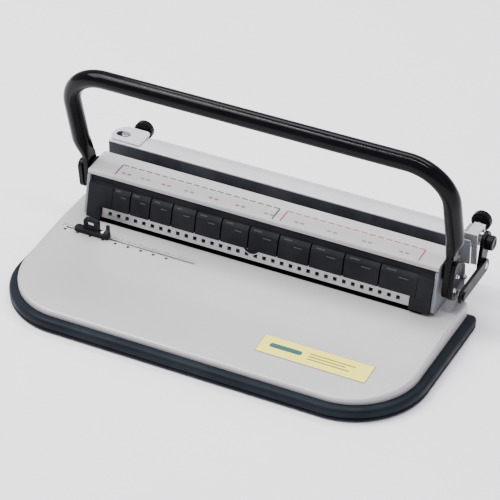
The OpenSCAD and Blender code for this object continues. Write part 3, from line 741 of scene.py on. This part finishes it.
def ear_left():
    """Round silver plate with an adjusting slot, its clamp screw, and the flange that carries the knob."""
    low, high = ear_low, ear_high
    sheet, r, small = 1.5 * MM, 13 * MM, 5 * MM
    z0, x, y = high.z - sheet, low.x + r, high.y - r
    tip = math.degrees(math.asin((y - low.y) / r))
    outline = [(high.x, low.y), (high.x, high.y - small)]
    outline += arc((high.x - small, high.y - small), small, 0, 90, 8)
    outline += arc((x, y), r, 90, 180 + tip, 30)
    plate = Build().prism(outline, "z", z0, high.z).object("ear_left")

    def slot(half):
        return bar_outline((x - 5 * MM, y), (x, y), half, half + 0.0001 * MM)

    cut(plate, Build().prism(slot(4.2 * MM), "z", z0 - 1 * MM, high.z + 1 * MM).object("ear_slot"))
    finish_piece(plate, "closer", bar_paint, ["closing_ear_left"], bevel=0.35 * MM)
    # Thin near-black sheet in the bottom of the slot: painted shade that makes the slot hole read dark
    below = Build().prism(slot(4.1 * MM), "z", z0 + 0.1 * MM, z0 + 0.35 * MM)
    below.piece("ear_slot_painted_shade", "closer", None, tray_plastic)
    head_r, foot, top = 3.8 * MM, 0.4 * MM, high.z + 0.9 * MM - z0
    socket = top - 0.7 * MM
    screw = Build()
    screw.lathe([(POINT, foot), (head_r, foot), (head_r, top - 0.5 * MM), (3.2 * MM, top),
                 (1.5 * MM, top), (1.3 * MM, socket), (POINT, socket)], (x, y, z0), (0, 0, 1), 36)
    screw.piece("ear_clamp_screw", "closer", "steel", dull_steel, ["ear_screw"], bevel=0.15 * MM)
    flange = Build()
    x1, z1 = high.x - small, z0 + 0.2 * MM
    flange.prism(fillet([(x, low.z), (x1, low.z), (x1, z1), (x, z1)], 1 * MM), "y", high.y - 2 * MM, high.y)
    flange.piece("ear_left_flange", "closer", "zinc", zinc, bevel=0.3 * MM)


def knob(node, body):
    """Moulded knob with a domed cap, a groove behind the rim, fine finger flutes, and its steel stud."""
    low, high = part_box(node)
    x, z, radius = (low.x + high.x) / 2, (low.z + high.z) / 2, (high.x - low.x) / 2
    stud_r, stud, cap = 1.8 * MM, KNOB_STUD[node], 10.2 * MM
    y0 = high.y - cap - stud
    groove, rim, round_z = radius - 1.9 * MM, stud + 7.4 * MM, 2.3 * MM
    profile = [(0, stud), (radius - 2.4 * MM, stud), (groove, stud + 0.4 * MM), (groove, stud + 1.5 * MM),
               (radius - 0.8 * MM, stud + 1.9 * MM), (radius, stud + 2.7 * MM), (radius, rim)]
    for a in (15, 30, 45, 60, 75, 90):
        t = math.radians(a)
        profile.append((radius - 2.6 * MM + 2.6 * MM * math.cos(t), rim + round_z * math.sin(t)))
    dish = stud + 9.4 * MM
    profile += [(radius - 4.2 * MM, stud + 9.9 * MM), (radius - 4.6 * MM, dish), (0, dish)]
    grip = Build()
    flutes, flute_depth, steps = 18, 0.28 * MM, 144
    turn = turned((0, 1, 0))
    rings = []
    for r, h in profile:
        fluted = r > radius - 0.9 * MM
        ring = []
        for k in range(steps):
            a = 2 * math.pi * k / steps
            dip = flute_depth * max(0.0, math.cos(a * flutes)) ** 2 if fluted else 0
            reach = max(r, POINT) - dip
            ring.append(Vector((x, y0, z)) + turn @ polar(reach, a, h))
        rings.append(ring)
    grip.faces(rings)
    grip.piece(node + "_grip", body, "gloss_plastic_black", knob_plastic, [node], smooth=40)
    pin = Build()
    half_pitch, thread_depth = 0.35 * MM, 0.2 * MM
    turns = int((stud - 0.7 * MM) / half_pitch)
    thread = [(stud_r - (thread_depth if i % 2 else 0), 0.4 * MM + i * half_pitch) for i in range(turns)]
    pin.lathe([(POINT, 0.15 * MM), (stud_r, 0.15 * MM)] + thread + [(stud_r, stud), (POINT, stud)],
              (x, y0, z), (0, 1, 0), 24)
    pin.piece(node + "_stud", body, None, steel)


top_cover()
gauge_blocks()
block_glints()
centre_mark()
print_on_cover()
print_on_deck()
closing_bar()
ear_left()
knob("knob_left", "knob_l")
knob("knob_right", "knob_r")
# The side frames' darker paint is painted shade
refined_all(frame_silver_painted_shade, {"side_frame_left": 0.35, "side_frame_right": 0.35})
refined_all(cover_paint, {"rear_cover": 0.3})
refined_all(dark_plastic, {"front_fascia": 0.4})
refined_all(tray_plastic, {"closing_channel": 0.3, "shaft_bushes": 0.4})
refined_all(strip_zinc, {"ring_strip": 0.2})
refined_all(zinc, {"closing_ear_right": 0.4})
# The jaw's dark grey is painted shade in the closing slot
refined_all(jaw_painted_shade, {"closing_jaw": 0.3})
# The pin guide is made black as painted shade in the throat
refined_all(black_steel, {"pin_guide": 0.2})
refined_all(bright_steel, {"guide_posts": 0.2})
refined_all(steel, {"closing_lugs": 0.4, "tie_rods": 0.3, "paper_stop": 0.2, "punch_bar": 0.4})
for node in ("return_springs", "punch_pins"):
    frame["nodes"][node].data.materials.clear()
    frame["nodes"][node].data.materials.append(bright_steel)


# ---------------------------------------------------------------- edge guide
def edge_guide():
    """Black slide with a windowed thumb tab, a hooked stop fin, and its clamp screw."""
    low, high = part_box("edge_guide")
    plate_z = deck_high.z - 0.1 * MM
    plate_h, y0, y1 = 4 * MM, high.y - 7.5 * MM, high.y
    x0, x1 = low.x, high.x
    top = plate_z + plate_h
    outline = [(x0, y0, 2.5 * MM), (x1, y0, 1.5 * MM), (x1, y1, 1.5 * MM), (x0, y1, 3.5 * MM)]
    base = Build().prism(fillet(outline, 1 * MM, 6), "z", plate_z, top)
    keel_x, keel_half, mid = 10 * MM, 0.9 * MM, (x0 + x1) / 2
    keel_y = (rail_low.y + rail_high.y) / 2
    base.box((mid - keel_x, keel_y - keel_half, low.z),
             (mid + keel_x, keel_y + keel_half, plate_z + 0.5 * MM))
    base.piece("guide_slide_plate", "guide", "dark_plastic", dark_plastic, ["edge_guide"],
               bevel=0.55 * MM, segments=3)
    tab_x0, tab_x1 = mid - 8 * MM, mid + 7 * MM
    foot = top - 0.5 * MM
    outline = [(tab_x0, foot, 0.3 * MM), (tab_x1, foot, 0.3 * MM),
               (tab_x1, high.z, 3.4 * MM), (tab_x0, high.z, 3.4 * MM)]
    tab = Build().prism(fillet(outline, 1 * MM, 8), "y", y0 + 2.5 * MM, y0 + 6.2 * MM).object("guide_tab")
    wx0, wx1, wz0, wz1 = tab_x0 + 2.8 * MM, tab_x1 - 4.6 * MM, top + 2.8 * MM, high.z - 3.0 * MM
    window = fillet([(wx0, wz0), (wx1, wz0), (wx1, wz1), (wx0, wz1)], 1.1 * MM)
    cut(tab, Build().prism(window, "y", y0, y1).object("guide_window"))
    finish_piece(tab, "guide", dark_plastic, bevel=0.5 * MM, segments=3)
    front, back, tip = y0 + 0.6 * MM, y1 - 0.4 * MM, high.z - 3.4 * MM
    hook = [(front, top - 0.4 * MM, 0.4 * MM), (back, top - 0.4 * MM, 0.3 * MM), (back, tip, 1.0 * MM),
            (y1 - 2.2 * MM, tip, 0.8 * MM), (y1 - 2.6 * MM, top + 3.2 * MM, 1.6 * MM),
            (front, top + 1.6 * MM, 0.8 * MM)]
    fin = Build().prism(fillet(hook, 0.5 * MM, 5), "x", x1 - 3.8 * MM, x1 - 0.6 * MM)
    fin.piece("guide_fin", "guide", "dark_plastic", dark_plastic, bevel=0.4 * MM, segments=3)
    c_low, c_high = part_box("guide_clamp")
    centre = ((c_low.x + c_high.x) / 2, (c_low.y + c_high.y) / 2, top)
    head_r = (c_high.x - c_low.x) / 2
    pan_head("guide_clamp_screw", [(centre, (0, 0, 1))], head_r, 1.7 * MM, "guide", "guide_clamp")


# ---------------------------------------------------------------- fasteners
def pan_head(name, places, radius, height, body, node):
    """Domed screw heads with a cross recess, at (point, direction) places."""
    tip, edge = radius * 0.001, 0.35
    dome = [(tip, 0), (radius, 0), (radius, height * edge)]
    for a in (25, 45, 65):
        t = math.radians(a)
        dome.append((radius * math.cos(t), height * (edge + (1 - edge) * math.sin(t))))
    dome.append((tip, height))
    a, b = 0.55, 0.13
    cross = [(-a, -b), (-b, -b), (-b, -a), (b, -a), (b, -b), (a, -b),
             (a, b), (b, b), (b, a), (-b, a), (-b, b), (-a, b)]
    made, recess = Build(), Build()
    for point, axis in places:
        made.lathe(dome, point, axis, 24)
        turn = turned(axis)
        recess.faces([[Vector(point) + turn @ Vector((u * radius, v * radius, h)) for u, v in cross]
                      for h in (height * 0.55, height * 1.2)])
    heads = cut(made.object(name), recess.object(name + "_recess"))
    finish_piece(heads, body, bright_steel, [node], smooth=40)


def hex_bolts(name, places, body, node):
    """Hexagon heads with a chamfered top on a washer; each place is (point, direction, radius, height)."""
    made = Build()
    for point, axis, radius, height in places:
        turn, tip, washer = turned(axis), 0.001 * MM, height * 0.3
        made.lathe([(tip, 0), (radius, 0), (radius, height * 0.22), (radius * 0.95, washer), (tip, washer)],
                   point, axis, 28)
        head = ((0.8 * radius, 0.25 * height), (0.8 * radius, 0.86 * height), (0.68 * radius, height))
        angles = [math.radians(60 * k + 15) for k in range(6)]
        made.faces([[Vector(point) + turn @ polar(r, a, h) for a in angles] for r, h in head])
    made.piece(name, body, "bright_steel", bright_steel, [node], bevel=0.1 * MM, smooth=30)


# ---------------------------------------------------------------- handle, levers and linkage
def section(centre, across, along, half_a, half_b, power, steps=40):
    """Superellipse ring spanned by two directions; power 2 is round, higher is squarer."""
    ring = []
    for k in range(steps):
        t = 2 * math.pi * k / steps
        c, s = math.cos(t), math.sin(t)
        a = half_a * math.copysign(abs(c) ** (2 / power), c)
        b = half_b * math.copysign(abs(s) ** (2 / power), s)
        ring.append(centre + across * a + along * b)
    return ring


def handle():
    """One bent steel bar, round over the top, with its legs pressed flat beside the levers."""
    radius, half_t, straight = 8 * MM, 3 * MM, 28 * MM
    leg_x, flat_x = tube_high.x - radius, flat_high.x - half_t
    side = Vector((1, 0, 0))
    lean = Vector((0, -math.sin(HANDLE_LEAN), math.cos(HANDLE_LEAN)))
    back = Vector((0, -lean.z, lean.y))
    foot = Vector((0, drive_axis.y - 3.5 * MM, drive_axis.z + 14.7 * MM))
    run, bend = (tube_high.z - radius - foot.z) / math.cos(HANDLE_LEAN), TUBE_BEND_R
    # The leg swells from a flat at its foot to full round, and its middle moves from flat_x to leg_x
    start, climb, steps, lead, swell_run = -5, 33, 16, 1 * MM, 25 * MM
    rings = []
    for k in range(steps + 1):
        at = (start + climb * k / steps) * MM
        share = min(1.0, max(0.0, (at + lead) / swell_run))
        swell = share * share * (3 - 2 * share)
        half_a = half_t - 0.05 * MM + (radius - half_t + 0.05 * MM) * swell
        centre = Vector((flat_x + (leg_x - flat_x) * swell, foot.y, foot.z)) + lean * at
        rings.append(section(centre, side, back, half_a, (7.2 + 0.8 * swell) * MM, 4.4 - 2.4 * swell))
    base = Vector((leg_x, foot.y, foot.z))
    for share in (0.3, 0.65, 1.0):
        at = straight + (run - bend - straight) * share
        rings.append(section(base + lean * at, side, back, radius, radius, 2))
    centre = base + lean * (run - bend) - side * bend
    for k in range(1, 21):
        t = math.radians(90 * k / 20)
        out = side * math.cos(t) + lean * math.sin(t)
        rings.append(section(centre + out * bend, out, back, radius, radius, 2))
    crown = centre + lean * bend
    for share in (0.3, 0.65, 1.0):
        at = Vector((crown.x * (1 - share), crown.y, crown.z))
        rings.append(section(at, lean, back, radius, radius, 2))
    mirrored = [[Vector((-p.x, p.y, p.z)) for p in ring] for ring in rings[:-1]]
    made = Build()
    made.faces(rings + mirrored[::-1])
    made.piece("handle_tube", "handle", "gloss_black", gloss_black, ["handle_bar"], smooth=60)
    y, z = drive_axis.y, drive_axis.z
    flats = Build()
    for sign, dy, dz in ((-1, -3, -12), (1, -11, -16)):
        discs = [(foot.y, foot.z - 0.5 * MM, 7.4 * MM), (y, z, 8 * MM), (y + dy * MM, z + dz * MM, 6 * MM)]
        flats.prism(hull_outline(discs, 96), "x", sign * (flat_x - half_t), sign * (flat_x + half_t))
    flats.piece("handle_flats", "handle", "gloss_black", gloss_black, ["handle_ends"],
                bevel=1.1 * MM, segments=4)


def hull_outline(discs, steps=64):
    """Convex outline round several (y, z, radius) discs."""
    points = []
    for k in range(steps):
        t = 2 * math.pi * k / steps
        d = Vector((math.cos(t), math.sin(t)))
        best = max(discs, key=lambda c: c[0] * d.x + c[1] * d.y + c[2])
        points.append((best[0] + best[2] * d.x, best[1] + best[2] * d.y))
    return points


def levers_and_bolts():
    """Black clamp plates outside the handle: short on the left, long on the right to drive the link."""
    y, z = drive_axis.y, drive_axis.z
    shapes = {"left": [(-6, 5, 6), (5, -3, 7), (-3, -12, 7)],
              "right": [(-6, 5, 6), (5, -3, 7), (7.5, -27, 5), (-10.5, -16, 7)]}
    heads = {"left": [(-7.6, -1.1, 2.0), (-3, -12, 2.4)],
             "right": [(-7.6, -1.1, 2.0), (10, -12.5, 2.4), (-12.3, -12.2, 2.4), (-1.2, -21.8, 2.4)]}
    x0, x1 = lever_low.x, lever_high.x
    shaft_low, shaft_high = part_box("drive_shaft")
    bore_r = (shaft_high.z - shaft_low.z) / 2 + 0.02 * MM
    long, bolt_h = 40 * MM, 2.2 * MM
    bolts = []
    for side, sign in (("left", -1), ("right", 1)):
        made = Build()
        discs = [(y + dy * MM, z + dz * MM, r * MM) for dy, dz, r in shapes[side]]
        made.prism(hull_outline(discs), "x", sign * x0, sign * x1)
        bore = Build()
        bore.rod(bore_r, long, (sign * (x0 - 15 * MM), y, z), (sign, 0, 0), 64)
        plate = cut(made.object(f"lever_plate_{side}"), bore.object(f"lever_bore_{side}"))
        finish_piece(plate, "handle", black_steel, [f"handle_lever_{side}"],
                     bevel=0.6 * MM, segments=3)
        for dy, dz, r in heads[side]:
            bolts.append((Vector((sign * x1, y + dy * MM, z + dz * MM)), (sign, 0, 0), r * MM, bolt_h))
    hex_bolts("lever_bolt_heads", bolts, "handle", "lever_bolts")


def arms():
    """Link and rear crank as flat arms with rounded edges and pin heads."""
    tail, crank, rear = ((p.y, p.z) for p in (tail_axis, crank_axis, rear_axis))
    link_r, head_r, head_h, collar, pin_r = 6.5 * MM, 4.2 * MM, 1.5 * MM, 4.3 * MM, 3 * MM
    bar_x1 = link_high.x - head_h
    bar_x0 = bar_x1 - 3 * MM
    link = Build()
    link.prism(bar_outline(tail, crank, link_r, link_r + 0.0001 * MM), "x", bar_x0, bar_x1)
    link.lathe([(POINT, 0), (head_r, 0), (head_r, 0.9 * MM), (3.5 * MM, head_h), (POINT, head_h)],
               (bar_x1, *tail), (1, 0, 0), 32)
    link.rod(head_r, collar, (bar_x0 - collar, *tail), (1, 0, 0), 32)
    link.rod(pin_r, bar_x0 - link_low.x - collar, (link_low.x, *tail), (1, 0, 0), 28)
    hole = Build()
    hole_r, through = 3.1 * MM, 5 * MM
    hole.rod(hole_r, through, (bar_x0 - 1 * MM, *crank), (1, 0, 0), 40)
    bar = cut(link.object("link_bar"), hole.object("link_pin_hole"))
    finish_piece(bar, "link", black_steel, ["coupler_link"], bevel=0.5 * MM, segments=3)
    arm_x0 = crank_low.x
    arm_x1 = arm_x0 + 3.5 * MM
    boss = crank_high.x - arm_x1
    arm = Build()
    arm.prism(bar_outline(rear, crank, 9.5 * MM, link_r), "x", arm_x0, arm_x1)
    arm.piece("crank_plate", "rear_crank", "black_steel", black_steel, ["crank_arm"],
              bevel=0.5 * MM, segments=3)
    hub = Build()
    hub_r, dish = 6.7 * MM, boss - 0.5 * MM
    hub.lathe([(POINT, 0), (hub_r, 0), (hub_r, boss - 0.9 * MM), (5.8 * MM, boss), (3.6 * MM, boss),
               (3.2 * MM, dish), (POINT, dish)], (arm_x1, *rear), (1, 0, 0), 48)
    hub.piece("crank_hub", "rear_crank", "black_steel", black_steel, bevel=0.25 * MM)
    pin = Build()
    long = bar_x1 + 0.2 * MM - arm_x1
    pin.lathe([(POINT, 0), (pin_r, 0), (pin_r, long - 0.3 * MM), (2.7 * MM, long), (POINT, long)],
              (arm_x1, *crank), (1, 0, 0), 32)
    pin.piece("crank_pin", "rear_crank", None, steel)


edge_guide()
handle()
levers_and_bolts()
arms()
frame_holes = ((51.7 * MM, 36 * MM), (70.7 * MM, 42 * MM))
frame_places = [((side * frame_out, y, z), (side, 0, 0)) for side in (-1, 1) for y, z in frame_holes]
pan_head("frame_screw_heads", frame_places, 3 * MM, 1.4 * MM, "base", "frame_screws")
COVER_HEAD_R = 2.5 * MM
screws_low, screws_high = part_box("cover_screws")
cover_places = [((x, screws_low.y, z), (0, 1, 0))
                for x in (screws_low.x + COVER_HEAD_R, screws_high.x - COVER_HEAD_R)
                for z in (screws_low.z + COVER_HEAD_R, screws_high.z - COVER_HEAD_R)]
pan_head("cover_screw_heads", cover_places, COVER_HEAD_R, 1.4 * MM, "base", "cover_screws")
refined_all(black_steel, {"drive_shaft": 0.3})
refined_all(steel, {"drive_cams": 0.3, "rear_shaft": 0.3, "closing_cams": 0.3})


# ---------------------------------------------------------------- floor, light and camera
def floor():
    """Wide slab of matt pale paper, with its top at the height of the table."""
    half, thick = 3, 0.01
    corners = ((-half, -half), (half, -half), (half, half), (-half, half))
    made = Build()
    made.faces([[(x, y, z) for x, y in corners] for z in (0, -thick)])
    ground = made.object("floor")
    material, tree, shader = new_material("floor_paper", 0.8)
    paper = two_tone(tree, noise(tree, 6, 3), (0.90, 0.905, 0.91), (0.93, 0.93, 0.93))
    tree.links.new(paper, shader.inputs["Base Color"])
    bump(tree, shader, noise(tree, 600, 3), 0.0001, 0.2)
    ground.data.materials.append(material)


def soft_light(name, place, aim, size, power, colour):
    lamp = bpy.data.lights.new(name, "AREA")
    lamp.shape = "RECTANGLE"
    lamp.size, lamp.size_y = size
    lamp.energy = power
    lamp.color = colour
    made = bpy.data.objects.new(name, lamp)
    made.location = place
    made.rotation_euler = (Vector(aim) - Vector(place)).to_track_quat("-Z", "Y").to_euler()
    bpy.context.scene.collection.objects.link(made)


def world():
    made = bpy.data.worlds.new("studio")
    made.use_nodes = True
    sky = made.node_tree.nodes["Background"]
    sky.inputs["Color"].default_value = (0.90, 0.78, 1.0, 1)
    sky.inputs["Strength"].default_value = 0.78
    bpy.context.scene.world = made


def camera():
    lens = bpy.data.cameras.new("camera")
    lens.lens, lens.sensor_width = 192.96, 36
    lens.clip_start, lens.clip_end = 0.1, 20
    made = bpy.data.objects.new("camera", lens)
    made.location = (0.8514, -1.6785, 1.3747)
    made.rotation_euler = (math.radians(54.951), 0, math.radians(26.732))
    bpy.context.scene.collection.objects.link(made)
    bpy.context.scene.camera = made


floor()
world()
soft_light("key", (-1.2, -0.4, 1.7), (0, 0, 0.05), (1.3, 1.3), 52, (1, 0.99, 0.97))
soft_light("overhead", (0.0, 0.9, 1.6), (0, 0, 0.1), (1.8, 0.6), 28, (1, 1, 1))
soft_light("strip", (0.0, -0.28, 1.7), (0, 0, 0.17), (1.9, 0.05), 24, (1, 1, 1))
soft_light("fill", (1.7, -0.6, 0.7), (0, 0, 0.05), (0.5, 1.0), 1.0, (0.7, 0.86, 1))
camera()
